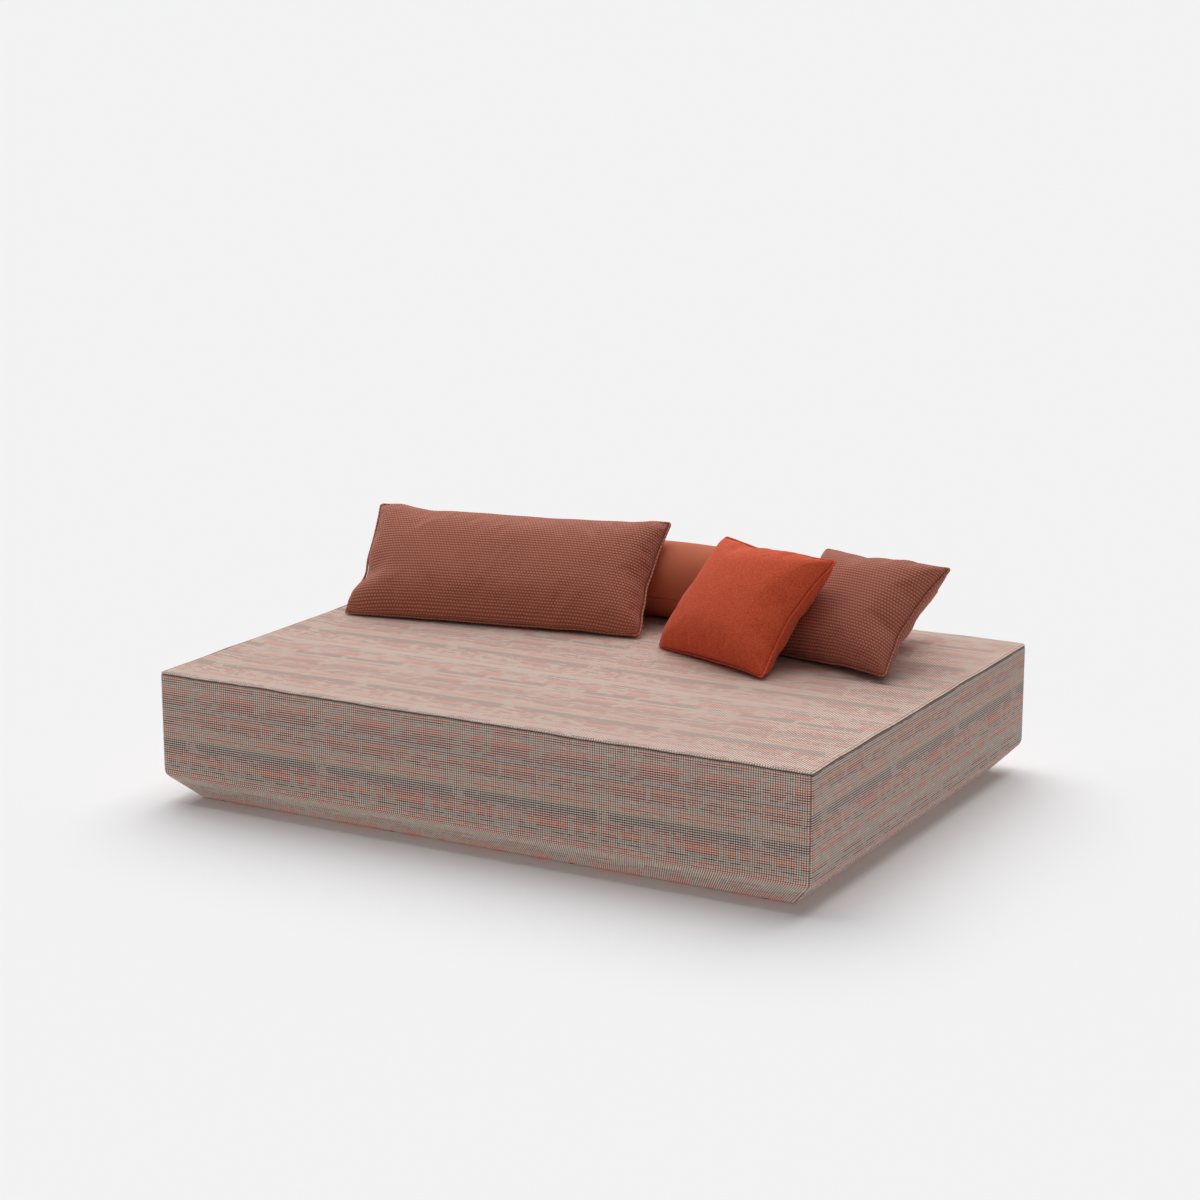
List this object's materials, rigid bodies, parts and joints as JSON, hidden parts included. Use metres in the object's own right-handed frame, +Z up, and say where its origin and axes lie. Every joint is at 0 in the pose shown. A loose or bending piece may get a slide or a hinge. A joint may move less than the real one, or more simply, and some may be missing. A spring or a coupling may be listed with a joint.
{
  "type": "pouf",
  "caption": "Low upholstered platform pouf with a bevelled foot, a striped woven cover, a bolster and loose piped cushions.",
  "frame": {"origin": "on the floor, under the middle of the platform's box", "axes": "+X along the platform's long front edge, +Y to its back, where the bolster lies, +Z up"},
  "size_m": [2.002, 1.482, 0.6776],
  "materials": {
    "striped_weave": "matte",
    "dark_welt": "matte",
    "dust_cloth": "matte",
    "timber": "matte",
    "plywood": "matte",
    "screw_steel": "satin",
    "glide_plastic": "matte",
    "firm_foam": "matte",
    "soft_foam": "matte",
    "rust_basket_weave": "matte",
    "brown_basket_weave": "matte",
    "orange_felt": "matte",
    "plain_terracotta": "matte",
    "filling": "matte"
  },
  "bodies": {
    "platform": {"cover_front_border": "striped_weave", "cover_back_border": "striped_weave", "cover_left_border": "striped_weave", "cover_right_border": "striped_weave", "cover_top_panel": "striped_weave", "cover_welt": "dark_welt", "dust_cloth": "dust_cloth", "front_rail": "timber", "back_rail": "timber", "left_rail": "timber", "right_rail": "timber", "left_bearer": "timber", "centre_bearer": "timber", "right_bearer": "timber", "front_left_corner_block": "timber", "front_right_corner_block": "timber", "back_left_corner_block": "timber", "back_right_corner_block": "timber", "left_deck_sheet": "plywood", "right_deck_sheet": "plywood", "frame_screws": "screw_steel", "deck_screws": "screw_steel", "glide_screws": "screw_steel", "front_glide_1": "glide_plastic", "front_glide_2": "glide_plastic", "front_glide_3": "glide_plastic", "front_glide_4": "glide_plastic", "back_glide_1": "glide_plastic", "back_glide_2": "glide_plastic", "back_glide_3": "glide_plastic", "back_glide_4": "glide_plastic", "front_side_foam": "firm_foam", "back_side_foam": "firm_foam", "left_side_foam": "firm_foam", "right_side_foam": "firm_foam", "foam_core": "firm_foam", "foam_topper": "soft_foam"},
    "long_cushion": {"long_cushion_front_panel": "rust_basket_weave", "long_cushion_back_panel": "rust_basket_weave", "long_cushion_piping": "rust_basket_weave", "long_cushion_filling": "filling"},
    "brown_cushion": {"brown_cushion_front_panel": "brown_basket_weave", "brown_cushion_back_panel": "brown_basket_weave", "brown_cushion_piping": "brown_basket_weave", "brown_cushion_filling": "filling"},
    "orange_cushion": {"orange_cushion_front_panel": "orange_felt", "orange_cushion_back_panel": "orange_felt", "orange_cushion_piping": "orange_felt", "orange_cushion_filling": "filling"},
    "bolster": {"bolster_upper_panel": "plain_terracotta", "bolster_lower_panel": "plain_terracotta", "bolster_filling": "filling"}
  },
  "joints": [
    {"name": "long_cushion_lift", "type": "slide", "parent": "platform", "child": "long_cushion", "axis": [0, -0.3489, 0.9371], "range_m": [0, 0.35]},
    {"name": "brown_cushion_lift", "type": "slide", "parent": "platform", "child": "brown_cushion", "axis": [0, -0.3011, 0.9536], "range_m": [0, 0.35]},
    {"name": "orange_cushion_lift", "type": "slide", "parent": "brown_cushion", "child": "orange_cushion", "axis": [-0.199, -0.398, 0.8955], "range_m": [0, 0.35]},
    {"name": "bolster_slide", "type": "slide", "parent": "platform", "child": "bolster", "axis": [0, 0.9962, 0.0872], "range_m": [0, 0.18]}
  ]
}
